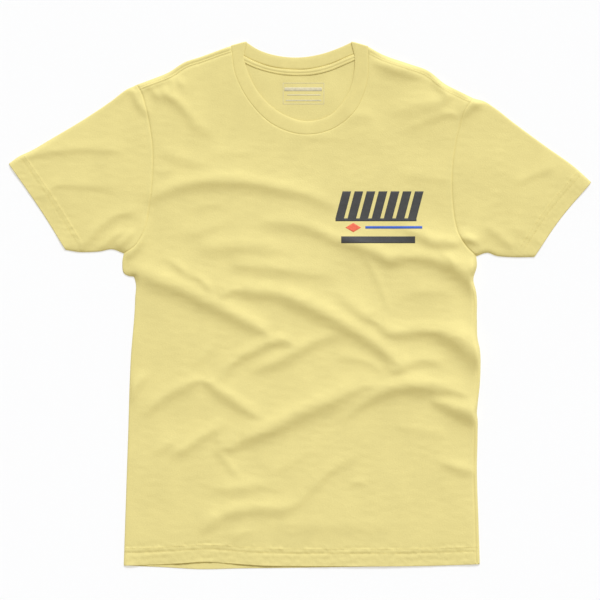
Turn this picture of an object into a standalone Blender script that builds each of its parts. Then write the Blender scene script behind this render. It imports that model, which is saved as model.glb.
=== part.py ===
"""A short-sleeved crew-neck T-shirt, lying on its back with its front facing up.

+Z is up, +Y runs towards the neck and +X towards the wearer's left sleeve. The origin is on
the surface that the shirt lies on, under the middle of the shirt. Sizes are in millimetres,
and MM turns them into metres where a mesh is made.
"""

import math
from itertools import pairwise

import bmesh
import bpy
from mathutils import Vector, geometry

MM = 0.001

# Cloth and how it lies.
CLOTH = 1.0  # thickness of one layer of jersey with its loft
GAP = 0.3  # left between two pieces that touch
LOFT = 8.0  # height of the hollow between the front and the back
ROLL = 22.0  # width over which the front comes down to the back at a closed edge
RIB = 1.6  # thickness of the doubled rib knit
TAPE = 0.7  # thickness of the neck tape
THREAD_WIDTH = 0.9
THREAD_HEIGHT = 0.5
OVERLOCK_WIDTH = 5.0
OVERLOCK_HEIGHT = 0.8
OVERLOCK_INSET = 6.0  # from a folded edge to the middle of the overlocked seam beside it
INK = 0.3

# Sampling.
STEP = 12.0
GRID = 26.0  # spacing of the points inside the front panel
ROLL_ROWS = 4
CLIMB_POINTS = 10

# Seams and edges, each from its first point to its last.
RIGHT_SHOULDER = [(-97, 364), (-141, 349), (-186, 327), (-230, 310)]
RIGHT_ARMHOLE = [(-230, 310), (-212, 254), (-208, 197), (-216, 117), (-248, 73)]
RIGHT_SIDE = [(-248, 73), (-235, 35), (-236, -40), (-242, -190), (-248, -367)]
RIGHT_SLEEVE_TOP = [(-266, 287), (-308, 259), (-379, 217), (-410, 199)]
RIGHT_SLEEVE_UNDER = [(-265, 78), (-299, 75), (-330, 78)]
LEFT_SHOULDER = [(96, 363), (155, 339), (206, 310), (244, 291)]
LEFT_ARMHOLE = [(244, 291), (223, 244), (214, 170), (220, 113), (248, 69)]
LEFT_SIDE = [(248, 69), (246, 30), (249, -40), (253, -90), (249, -150), (250, -247), (253, -365)]
LEFT_SLEEVE_TOP = [(269, 281), (303, 255), (345, 224), (388, 193), (410, 173)]
LEFT_SLEEVE_UNDER = [(276, 70), (330, 68)]
FRONT_HEM = [(-248, -367), (-134, -363), (0, -368), (253, -365)]
BACK_HEM = [(-248, -367), (-141, -371), (0, -370), (253, -365)]
FRONT_NECK = [(-97, 364), (-91, 325), (-67, 281), (7, 240), (78, 274), (95, 317), (96, 363)]
BACK_NECK = [(-97, 364), (-77, 350), (-11, 332), (65, 349), (96, 363)]
FRONT_COLLAR_EDGE = [(-75, 370), (-73, 327), (-56, 296), (8, 259), (64, 291), (76, 327), (72, 370)]
BACK_COLLAR_EDGE = [(-75, 370), (-61, 361), (0, 349), (59, 364), (72, 370)]

# Rows of stitching, measured from the edge that they follow.
HEM_ROWS = (18.0, 24.0)
SHOULDER_ROWS = (5.0, 8.0)
TAPE_WIDTH = 9.0
TAPE_ROWS = (1.6, 7.4)

# The print on the chest: leaning bars over a line, a lozenge and a plain bar.
EMBLEM_LEFT, EMBLEM_BOTTOM, EMBLEM_TOP = 50.0, 118.0, 160.0
EMBLEM_BARS, BAR_WIDTH, BAR_GAP, BAR_LEAN, BASE_HEIGHT = 7, 12.0, 5.0, 10.0, 4.0
LINE_BOX = (92.0, 107.5, 172.0, 111.0)
LOZENGE_CENTRE, LOZENGE_HALF = (75.0, 109.0), (11.0, 6.5)
PLAIN_BAR_BOX = (58.0, 87.0, 162.0, 96.5)

# The faint print inside the back of the neck: a frame with cross-bars.
LABEL_COLUMNS = (-24.0, -23.0, 33.0, 34.0)
LABEL_ROWS = (283.0, 284.0, 286.5, 290.5, 295.4, 296.4, 301.0, 306.0, 312.0, 313.0)
LABEL_BARS = {0, 2, 4, 6, 8}  # rows of cells that are inked from side to side

YELLOW = (0.78, 0.68, 0.28)
SEAM_YELLOW = (0.72, 0.61, 0.24)
CHARCOAL = (0.045, 0.045, 0.05)
BLUE = (0.045, 0.13, 0.58)
CORAL = (0.83, 0.16, 0.08)
LABEL_GREY = (0.58, 0.53, 0.36)

# Sections across a sleeve: close together in the rolls at its top and underarm edges.
ACROSS = (0, 0.007, 0.03, 0.06, 0.1, 0.16, 0.25, 0.37, 0.5, 0.63, 0.75, 0.84, 0.9, 0.94, 0.97, 0.993, 1)
SLEEVE_SECTIONS = 9
COLLAR_STATIONS = 28
FOLD_ANGLES = (45, 0, -45)  # sections round the fold of the collar at a shoulder


def clear_scene():
    for obj in list(bpy.data.objects):
        bpy.data.objects.remove(obj)


def material(name, colour, roughness):
    made = bpy.data.materials.new(name)
    made.use_nodes = True
    shader = made.node_tree.nodes["Principled BSDF"]
    shader.inputs["Base Color"].default_value = (*colour, 1.0)
    shader.inputs["Roughness"].default_value = roughness
    shader.inputs["Metallic"].default_value = 0.0
    return made


def add_object(name, points, faces, colour, roughness=0.9):
    """One closed body from points in millimetres, with its faces turned outwards."""
    shape = bmesh.new()
    corners = [shape.verts.new(Vector(point) * MM) for point in points]
    for face in faces:
        shape.faces.new([corners[index] for index in face])
    bmesh.ops.recalc_face_normals(shape, faces=shape.faces)
    mesh = bpy.data.meshes.new(name)
    shape.to_mesh(mesh)
    shape.free()
    mesh.shade_smooth()
    mesh.set_sharp_from_angle(angle=math.radians(40))
    mesh.materials.append(material(name, colour, roughness))
    made = bpy.data.objects.new(name, mesh)
    bpy.context.scene.collection.objects.link(made)
    return made


def curve_through(knots, step=STEP):
    """Points about one step apart on a smooth curve through the knots."""
    points = [Vector(knot) for knot in knots]
    chain = [2 * points[0] - points[1], *points, 2 * points[-1] - points[-2]]
    slopes = []
    for before, here, after in zip(chain, chain[1:], chain[2:]):
        back, ahead = (here - before).length, (after - here).length
        slopes.append(((here - before) / back * ahead + (after - here) / ahead * back) / (back + ahead))
    line = [points[0]]
    for (start, start_slope), (end, end_slope) in pairwise(zip(points, slopes)):
        third = (end - start).length / 3
        count = max(2, round(3 * third / step) + 1)
        handles = start + start_slope * third, end - end_slope * third
        line += [Vector(p[:2]) for p in geometry.interpolate_bezier(start, *handles, end, count)[1:]]
    return line


def at_fractions(line, fractions):
    """The points at these fractions of a line's length."""
    reach = [0.0]
    for a, b in pairwise(line):
        reach.append(reach[-1] + (b - a).length)
    found = []
    for fraction in fractions:
        want = fraction * reach[-1]
        index = next((i for i in range(1, len(line) - 1) if reach[i] >= want), len(line) - 1)
        part = (want - reach[index - 1]) / (reach[index] - reach[index - 1])
        found.append(line[index - 1].lerp(line[index], part))
    return found


def even(count):
    return [i / (count - 1) for i in range(count)]


def shifted(line, distance):
    """The line moved sideways, to the left of the way it runs."""
    moved = []
    for i, point in enumerate(line):
        way = (line[min(i + 1, len(line) - 1)] - line[max(i - 1, 0)]).normalized()
        moved.append(point + Vector((-way.y, way.x)) * distance)
    return moved


def length_of(line):
    return sum((b - a).length for a, b in pairwise(line))


def trimmed(line, start, end):
    """A line without the given lengths at its two ends."""
    length = length_of(line)
    first, last = start / length, 1 - end / length
    return at_fractions(line, [first + (last - first) * f for f in even(len(line))])


def finer_at_ends(line):
    """The line with closer points at its ends, where it climbs the rolled edges."""
    climb = 1.4 * ROLL / length_of(line)
    near = [climb * fraction for fraction in even(CLIMB_POINTS)]
    spans = max(2, round((1 - 2 * climb) * length_of(line) / (2 * STEP)))
    middle = [climb + (1 - 2 * climb) * i / spans for i in range(1, spans)]
    return at_fractions(line, [*near, *middle, *(1 - fraction for fraction in reversed(near))])


def distance_to(line, point):
    best = math.inf
    for a, b in pairwise(line):
        side = b - a
        part = min(max((point - a).dot(side) / side.length_squared, 0), 1)
        best = min(best, (a + side * part - point).length)
    return best


class Lay:
    """Height of the front's underside: level, and rolled down to the back at closed edges."""

    def __init__(self, closed_edges):
        self.edges = closed_edges

    def under(self, point):
        near = min(distance_to(edge, point) for edge in self.edges)
        roll = math.sin(math.pi / 2 * min(near / ROLL, 1))
        return CLOTH + GAP + LOFT * roll

    def over(self, point):
        return self.under(point) + CLOTH


def plate(name, outline, under, thickness, colour, inside=(), roughness=0.9):
    """A layer with this outline, whose underside is at the height that `under` gives."""
    corners = [*outline, *inside]
    ring = list(range(len(outline)))
    flat, _, triangles, *_ = geometry.delaunay_2d_cdt(corners, [], [ring], 1, 1e-4)
    low = [(*point, under(point)) for point in flat]
    high = [(x, y, z + thickness) for x, y, z in low]
    count = len(flat)
    faces = [tuple(reversed(face)) for face in triangles]
    faces += [tuple(index + count for index in face) for face in triangles]
    used = {side for face in triangles for side in zip(face, (*face[1:], face[0]))}
    faces += [(a, b, b + count, a + count) for a, b in used if (b, a) not in used]
    return add_object(name, low + high, faces, colour, roughness)


def ribbon(name, line, width, under, thickness, colour, roughness=0.8):
    """A flat strip along a line, such as a row of stitching or a tape."""
    points = []
    for left, right in zip(shifted(line, width / 2), shifted(line, -width / 2)):
        for side, lift in ((left, 0), (right, 0), (right, thickness), (left, thickness)):
            points.append((*side, under(side) + lift))
    count = len(line)
    faces = [(0, 1, 2, 3), tuple(4 * (count - 1) + k for k in (3, 2, 1, 0))]
    for i in range(count - 1):
        for k in range(4):
            near, far = 4 * i, 4 * i + 4
            faces.append((near + k, far + k, far + (k + 1) % 4, near + (k + 1) % 4))
    return add_object(name, points, faces, colour, roughness)


def inside_points(outline, edges):
    """Points inside a panel: rows along its rolled edges, and an even grid elsewhere."""
    rows = []
    for edge in edges:
        for row in range(1, ROLL_ROWS + 1):
            rows += shifted(edge, ROLL * row / ROLL_ROWS)
    low_x, high_x = min(p.x for p in outline), max(p.x for p in outline)
    low_y, high_y = min(p.y for p in outline), max(p.y for p in outline)
    across = [low_x + GRID * i for i in range(1, int((high_x - low_x) / GRID) + 1)]
    along = [low_y + GRID * i for i in range(1, int((high_y - low_y) / GRID) + 1)]
    grid = [Vector((x, y)) for x in across for y in along]
    grid = [p for p in grid if all(distance_to(edge, p) > ROLL + GRID / 3 for edge in edges)]
    ring = [*outline, outline[0]]
    kept = []
    for point in rows + grid:
        clear = all((point - other).length > ROLL / ROLL_ROWS / 2 for other in kept)
        if clear and within(outline, point) and distance_to(ring, point) > ROLL / ROLL_ROWS / 2:
            kept.append(point)
    return kept


def within(outline, point):
    crossings = 0
    for a, b in pairwise([*outline, outline[0]]):
        if (a.y > point.y) != (b.y > point.y):
            crossings += point.x < a.x + (point.y - a.y) / (b.y - a.y) * (b.x - a.x)
    return crossings % 2 == 1


def coons(top, under, first, last):
    """Sections of a four-sided patch, from the armhole (first) to the cuff (last)."""
    sections = []
    for i, (a, b) in enumerate(zip(top, under)):
        u = i / (len(top) - 1)
        section = []
        for j, v in enumerate(ACROSS):
            ruled = a.lerp(b, v) + first[j].lerp(last[j], u)
            corners = first[0].lerp(last[0], u).lerp(first[-1].lerp(last[-1], u), v)
            section.append(ruled - corners)
        sections.append(section)
    return sections


def sleeve(name, armhole, top_knots, under_knots, lay):
    """A flattened tube of cloth, open at the armhole and at the cuff."""
    top = at_fractions(curve_through([armhole[0], *top_knots]), even(SLEEVE_SECTIONS))
    under = at_fractions(curve_through([armhole[-1], *under_knots]), even(SLEEVE_SECTIONS))
    cuff = at_fractions([top[-1], under[-1]], ACROSS)
    points = []
    for section in coons(top, under, armhole, cuff):
        heights = [lay.over(point) for point in section]
        raised = [(*p, z) for p, z in zip(section, heights)]
        hollow_top = [(*p, z - CLOTH) for p, z in zip(section[1:-1], heights[1:-1])]
        hollow_floor = [(*p, CLOTH) for p in reversed(section[1:-1])]
        points += [*raised, *((*p, 0) for p in reversed(section)), *hollow_top, *hollow_floor]
    count = len(ACROSS)
    outer, inner = 2 * count, 2 * (count - 2)
    size = outer + inner
    faces = []
    for i in range(SLEEVE_SECTIONS - 1):
        near, far = i * size, (i + 1) * size
        for start, length in ((0, outer), (outer, inner)):
            for k in range(length):
                a, b = start + k, start + (k + 1) % length
                faces.append((near + a, near + b, far + b, far + a))
    for base in (0, (SLEEVE_SECTIONS - 1) * size):
        for k in range(1, count - 2):
            faces.append((base + k, base + k + 1, base + outer + k, base + outer + k - 1))
            low, floor = base + outer - 1 - k, base + size - k
            faces.append((low, low - 1, floor - 1, floor))
        tip, hollow = base + outer, base + outer + count - 3
        faces.append((base, base + 1, tip, base + size - 1, base + outer - 2, base + outer - 1))
        end = base + count
        faces.append((end - 2, end - 1, end, end + 1, hollow + 1, hollow))
    return add_object(name, points, faces, YELLOW)


def collar(lay):
    """A doubled band of rib round the neck, folded over at each shoulder."""
    fractions = even(COLLAR_STATIONS)
    front_seam = at_fractions(curve_through(FRONT_NECK), fractions)
    front_edge = at_fractions(curve_through(FRONT_COLLAR_EDGE), fractions)
    back_seam = at_fractions(curve_through(BACK_NECK), fractions)
    back_edge = at_fractions(curve_through(BACK_COLLAR_EDGE), fractions)
    lowest = RIB + 2 * GAP  # the front band's underside where it lies over the back band
    middle, radius = (lowest + RIB) / 2, lowest / 2
    up = Vector((0, 0, 1))
    stations = []
    for seam, edge in zip(front_seam, front_edge):
        seam_z, edge_z = (max(lay.under(p), lowest) + RIB / 2 for p in (seam, edge))
        stations.append((Vector((*seam, seam_z)), Vector((*edge, edge_z)), up))
    left_fold = fold_stations(front_seam[-1], front_edge[-1], middle, radius, FOLD_ANGLES)
    right_fold = fold_stations(front_seam[0], front_edge[0], middle, radius, FOLD_ANGLES[::-1])
    stations += left_fold
    for seam, edge in reversed(list(zip(back_seam, back_edge))):
        stations.append((Vector((*seam, RIB / 2)), Vector((*edge, RIB / 2)), -up))
    stations += right_fold
    points = []
    for seam, edge, normal in stations:
        half = normal * RIB / 2
        points += [seam - half, seam + half, edge + half, edge - half]
    faces = []
    for i in range(len(stations)):
        near, far = 4 * i, 4 * ((i + 1) % len(stations))
        for k in range(4):
            a, b = k, (k + 1) % 4
            faces.append((near + a, near + b, far + b, far + a))
    return add_object("collar_rib", points, faces, YELLOW, 0.95)


def fold_stations(seam, edge, middle, radius, angles):
    """Sections of the collar where it turns over about the line from its seam to its edge."""
    along = (edge - seam).normalized()
    outward = Vector((-along.y, along.x, 0))
    outward = outward if outward.y > 0 else -outward
    made = []
    for angle in angles:
        normal = outward * math.cos(math.radians(angle)) + Vector((0, 0, math.sin(math.radians(angle))))
        lift = normal * (radius - RIB / 2 + GAP) + Vector((0, 0, middle))
        made.append((Vector((*seam, 0)) + lift, Vector((*edge, 0)) + lift, normal))
    return made


def cells(name, columns, rows, bars, under, thickness, colour):
    """A film on a grid of cells: the outer columns and the rows in `bars` are filled."""
    filled = [(c, r) for r in range(len(rows) - 1) for c in range(len(columns) - 1)]
    filled = [(c, r) for c, r in filled if r in bars or c in (0, len(columns) - 2)]
    wide = len(columns)
    layer = wide * len(rows)
    points = [(x, y, under) for y in rows for x in columns]
    points += [(x, y, under + thickness) for y in rows for x in columns]
    faces = []
    used = set()
    for c, r in filled:
        ring = (r * wide + c, r * wide + c + 1, (r + 1) * wide + c + 1, (r + 1) * wide + c)
        faces += [ring[::-1], tuple(index + layer for index in ring)]
        used |= set(zip(ring, (*ring[1:], ring[0])))
    faces += [(a, b, b + layer, a + layer) for a, b in used if (b, a) not in used]
    return add_object(name, points, faces, colour, 0.7)


def box_outline(left, low, right, high):
    return [Vector(p) for p in ((left, low), (right, low), (right, high), (left, high))]


def emblem_outline():
    """Leaning bars that stand on one base line, as a single outline."""
    pitch = BAR_WIDTH + BAR_GAP
    width = EMBLEM_BARS * pitch - BAR_GAP
    foot = EMBLEM_BOTTOM + BASE_HEIGHT
    outline = [Vector((EMBLEM_LEFT, EMBLEM_BOTTOM)), Vector((EMBLEM_LEFT + width, EMBLEM_BOTTOM))]
    for bar in reversed(range(EMBLEM_BARS)):
        left = EMBLEM_LEFT + bar * pitch
        right = left + BAR_WIDTH
        outline += [Vector((right, foot)), Vector((right + BAR_LEAN, EMBLEM_TOP))]
        outline += [Vector((left + BAR_LEAN, EMBLEM_TOP)), Vector((left, foot))]
    return outline


def make_shirt():
    right_armhole = at_fractions(curve_through(RIGHT_ARMHOLE), ACROSS)
    left_armhole = at_fractions(curve_through(LEFT_ARMHOLE), ACROSS)
    right_shoulder, left_shoulder = curve_through(RIGHT_SHOULDER), curve_through(LEFT_SHOULDER)
    right_side, left_side = curve_through(RIGHT_SIDE), curve_through(LEFT_SIDE)
    right_sleeve_edge, left_sleeve_edge = shifted(right_armhole, -GAP), shifted(left_armhole, GAP)
    sleeve_folds = [
        curve_through([right_sleeve_edge[0], *RIGHT_SLEEVE_TOP]),
        curve_through([right_sleeve_edge[-1], *RIGHT_SLEEVE_UNDER]),
        curve_through([left_sleeve_edge[0], *LEFT_SLEEVE_TOP]),
        curve_through([left_sleeve_edge[-1], *LEFT_SLEEVE_UNDER]),
    ]
    collar_folds = [[Vector(FRONT_NECK[0]), Vector(FRONT_COLLAR_EDGE[0])]]
    collar_folds.append([Vector(FRONT_NECK[-1]), Vector(FRONT_COLLAR_EDGE[-1])])
    body_edges = [right_shoulder, right_side, left_shoulder, left_side]
    lay = Lay([*body_edges, *sleeve_folds, *collar_folds])

    fractions = even(COLLAR_STATIONS)
    front_neck = at_fractions(curve_through(FRONT_NECK), fractions)
    back_neck = at_fractions(curve_through(BACK_NECK), fractions)
    rim = [*right_shoulder[1:], *right_armhole[1:], *right_side[1:]]
    other_rim = [*left_side[::-1], *left_armhole[-2::-1], *left_shoulder[-2:0:-1]]
    front_edge = shifted(front_neck, -GAP)
    back_edge = shifted(back_neck, -GAP)
    front = [*rim, *curve_through(FRONT_HEM)[1:-1], *other_rim, *front_edge[::-1]]
    back = [*rim, *curve_through(BACK_HEM)[1:-1], *other_rim, *back_edge[::-1]]
    # Each edge runs so that the panel is on its left.
    rolled = [right_shoulder, right_side, left_shoulder[::-1], left_side[::-1]]
    plate("front_panel", front, lay.under, CLOTH, YELLOW, inside_points(front, rolled))
    plate("back_panel", back, lambda point: 0.0, CLOTH, YELLOW)
    sleeve("right_sleeve", right_sleeve_edge, RIGHT_SLEEVE_TOP, RIGHT_SLEEVE_UNDER, lay)
    sleeve("left_sleeve", left_sleeve_edge, LEFT_SLEEVE_TOP, LEFT_SLEEVE_UNDER, lay)
    collar(lay)
    make_tape(back_neck)
    make_seams(lay, body_edges, sleeve_folds, right_armhole, left_armhole, front_neck)
    make_hem_rows(lay)
    make_prints(lay)


def on_back(point):
    return CLOTH + GAP


def make_tape(back_neck):
    inner = trimmed(back_neck, 24, 24)
    middle = shifted(inner, -GAP - TAPE_WIDTH / 2)
    ribbon("back_neck_tape", middle, TAPE_WIDTH, on_back, TAPE, YELLOW)
    on_tape = CLOTH + 2 * GAP + TAPE
    for row, offset in zip(("upper", "lower"), TAPE_ROWS):
        line = shifted(inner, -GAP - offset)
        name = f"neck_tape_stitching_{row}"
        ribbon(name, line, THREAD_WIDTH, lambda p: on_tape, THREAD_HEIGHT, SEAM_YELLOW)


def make_seams(lay, body_edges, sleeve_folds, right_armhole, left_armhole, front_neck):
    right_shoulder, right_side, left_shoulder, left_side = body_edges
    _, right_under, _, left_under = sleeve_folds

    def over_front(point):
        return lay.over(point) + GAP

    def under_front(point):
        return lay.under(point) - 2 * GAP - OVERLOCK_HEIGHT

    # Seams sewn inside, on the back layer beside each closed edge.
    inside = {
        "right_side_seam_thread": (right_side, OVERLOCK_INSET),
        "left_side_seam_thread": (left_side, -OVERLOCK_INSET),
        "right_sleeve_seam_thread": (right_under, -OVERLOCK_INSET),
        "left_sleeve_seam_thread": (left_under, OVERLOCK_INSET),
    }
    for name, (edge, inset) in inside.items():
        line = trimmed(shifted(edge, inset), 12, 4)
        ribbon(name, line, OVERLOCK_WIDTH, on_back, OVERLOCK_HEIGHT, SEAM_YELLOW)
    # Seams sewn inside, under the front layer.
    under = {
        "right_armhole_seam_thread": trimmed(right_armhole, 26, 26),
        "left_armhole_seam_thread": trimmed(left_armhole, 26, 26),
        "collar_seam_thread": trimmed(front_neck, 30, 30),
    }
    for name, line in under.items():
        ribbon(name, line, OVERLOCK_WIDTH, under_front, OVERLOCK_HEIGHT, SEAM_YELLOW)
    # Two rows of stitching seen along each shoulder.
    for side, edge, way in (("right", right_shoulder, 1), ("left", left_shoulder, -1)):
        for row, inset in zip(("upper", "lower"), SHOULDER_ROWS):
            line = finer_at_ends(trimmed(shifted(edge, way * inset), 6, 6))
            name = f"{side}_shoulder_stitching_{row}"
            ribbon(name, line, THREAD_WIDTH, over_front, THREAD_HEIGHT, SEAM_YELLOW)


def make_hem_rows(lay):
    def over_front(point):
        return lay.over(point) + GAP

    right_cuff = curve_through([RIGHT_SLEEVE_TOP[-1], RIGHT_SLEEVE_UNDER[-1]])
    left_cuff = curve_through([LEFT_SLEEVE_TOP[-1], LEFT_SLEEVE_UNDER[-1]])
    hems = {
        "bottom_hem": (FRONT_HEM, 1),
        "right_sleeve_hem": (right_cuff, 1),
        "left_sleeve_hem": (left_cuff, -1),
    }
    for name, (edge, way) in hems.items():
        for row, inset in zip(("lower", "upper"), HEM_ROWS):
            line = finer_at_ends(trimmed(shifted(curve_through(edge), way * inset), 4, 4))
            ribbon(f"{name}_stitching_{row}", line, THREAD_WIDTH, over_front, THREAD_HEIGHT, SEAM_YELLOW)
    back_row = trimmed(shifted(curve_through(BACK_HEM), sum(HEM_ROWS) / 2), 20, 20)
    ribbon("back_hem_cover_thread", back_row, OVERLOCK_WIDTH, on_back, OVERLOCK_HEIGHT, SEAM_YELLOW)


def make_prints(lay):
    def on_front(point):
        return lay.over(point) + GAP

    x, y = LOZENGE_CENTRE
    wide, high = LOZENGE_HALF
    lozenge = [Vector(p) for p in ((x - wide, y), (x, y - high), (x + wide, y), (x, y + high))]
    plate("chest_print_bars", emblem_outline(), on_front, INK, CHARCOAL, roughness=0.6)
    plate("chest_print_line", box_outline(*LINE_BOX), on_front, INK, BLUE, roughness=0.6)
    plate("chest_print_lozenge", lozenge, on_front, INK, CORAL, roughness=0.6)
    plate("chest_print_plain_bar", box_outline(*PLAIN_BAR_BOX), on_front, INK, CHARCOAL, roughness=0.6)
    cells("neck_label_print", LABEL_COLUMNS, LABEL_ROWS, LABEL_BARS, CLOTH + GAP, INK, LABEL_GREY)


clear_scene()
make_shirt()
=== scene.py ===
"""The looks of a pale yellow crew-neck T-shirt that lies on its back with its front facing up.

+Z is up, +Y runs towards the neck and +X towards the wearer's left sleeve. Sizes are in
millimetres, and MM turns them into metres where a mesh is made.
"""

import math
from itertools import pairwise

import bpy
import numpy as np
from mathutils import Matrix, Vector, geometry, kdtree


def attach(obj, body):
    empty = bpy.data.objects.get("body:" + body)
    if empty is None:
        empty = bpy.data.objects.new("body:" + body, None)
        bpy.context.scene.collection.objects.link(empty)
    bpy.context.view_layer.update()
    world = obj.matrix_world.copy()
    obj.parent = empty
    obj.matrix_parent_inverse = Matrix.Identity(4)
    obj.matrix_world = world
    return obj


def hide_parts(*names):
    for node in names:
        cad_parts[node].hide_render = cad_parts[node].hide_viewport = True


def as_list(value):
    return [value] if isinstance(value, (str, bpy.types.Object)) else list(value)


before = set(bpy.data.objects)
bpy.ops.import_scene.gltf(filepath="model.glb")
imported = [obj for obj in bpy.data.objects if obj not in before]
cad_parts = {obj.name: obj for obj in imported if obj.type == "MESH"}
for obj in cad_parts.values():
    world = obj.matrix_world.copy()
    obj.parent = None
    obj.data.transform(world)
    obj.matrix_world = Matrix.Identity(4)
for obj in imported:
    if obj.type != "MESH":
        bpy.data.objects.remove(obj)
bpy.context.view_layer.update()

MM = 0.001
STEP = 2.4  # spacing of the points along every edge

# The shirt's outline, each line from its first point to its last.
RIGHT_SHOULDER = [(-97, 364), (-110, 360), (-141, 349), (-162, 342), (-186, 327), (-211, 317), (-230, 310)]
RIGHT_SLEEVE_TOP = [
    (-230, 310), (-243, 304), (-266, 287), (-308, 259), (-350, 234), (-379, 217), (-396, 209), (-410, 199),
]
RIGHT_CUFF = [(-410, 199), (-367, 137), (-330, 78)]
RIGHT_SLEEVE_UNDER = [(-330, 78), (-310, 75), (-299, 75), (-282, 76), (-265, 79), (-248, 73)]
RIGHT_SIDE = [
    (-248, 73), (-250, 59), (-247, 44), (-240, 41), (-234, 40), (-232, 35), (-232, 7), (-238, -75),
    (-242, -190), (-248, -367),
]
FRONT_HEM = [
    (-248, -367), (-205, -366), (-169, -364), (-134, -362), (-99, -364), (-56, -367), (0, -368), (70, -368),
    (141, -368), (197, -367), (253, -365),
]
BACK_HEM = [
    (-248, -367), (-198, -369), (-141, -372), (-85, -371), (0, -370), (70, -369), (141, -368),
    (253, -365),
]
LEFT_SIDE = [
    (248, 69), (249, 56), (244, 36), (248, 18), (249, -20), (250, -48), (253, -62), (254, -92),
    (253, -112), (250, -140), (249, -153), (250, -162), (250, -180), (249, -230), (251, -300), (253, -365),
]
LEFT_SLEEVE_UNDER = [(330, 68), (296, 68), (276, 70), (265, 74), (248, 69)]
LEFT_CUFF = [(410, 173), (366, 121), (330, 68)]
LEFT_SLEEVE_TOP = [(244, 291), (261, 286), (269, 281), (303, 255), (345, 224), (388, 193), (410, 173)]
LEFT_SHOULDER = [(96, 363), (113, 354), (155, 339), (178, 331), (206, 310), (226, 300), (244, 291)]

# The seams between the body and the sleeves, from the shoulder to the underarm.
RIGHT_ARMHOLE = [
    (-230, 310), (-224, 300), (-217, 278), (-212, 254), (-208, 226), (-208, 180), (-212, 141), (-223, 97),
    (-234, 82), (-248, 73),
]
LEFT_ARMHOLE = [
    (244, 291), (235, 279), (223, 244), (218, 219), (214, 176), (216, 137), (219, 116), (224, 99),
    (234, 83), (248, 69),
]

# The neck, from the wearer's right to the left.
FRONT_NECK = [
    (-97, 364), (-91, 325), (-67, 281), (-38, 254), (7, 240), (46, 248), (78, 274), (95, 317),
    (96, 363),
]
BACK_NECK = [(-97, 364), (-77, 350), (-48, 338), (-11, 332), (27, 335), (65, 349), (96, 363)]
FRONT_COLLAR_EDGE = [
    (-75, 370), (-79, 352), (-73, 327), (-56, 296), (-28, 271), (8, 259), (40, 266), (64, 291),
    (76, 327), (77, 348), (72, 370),
]
BACK_COLLAR_EDGE = [(-75, 370), (-61, 361), (-30, 351), (0, 349), (27, 353), (59, 364), (72, 370)]

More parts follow.
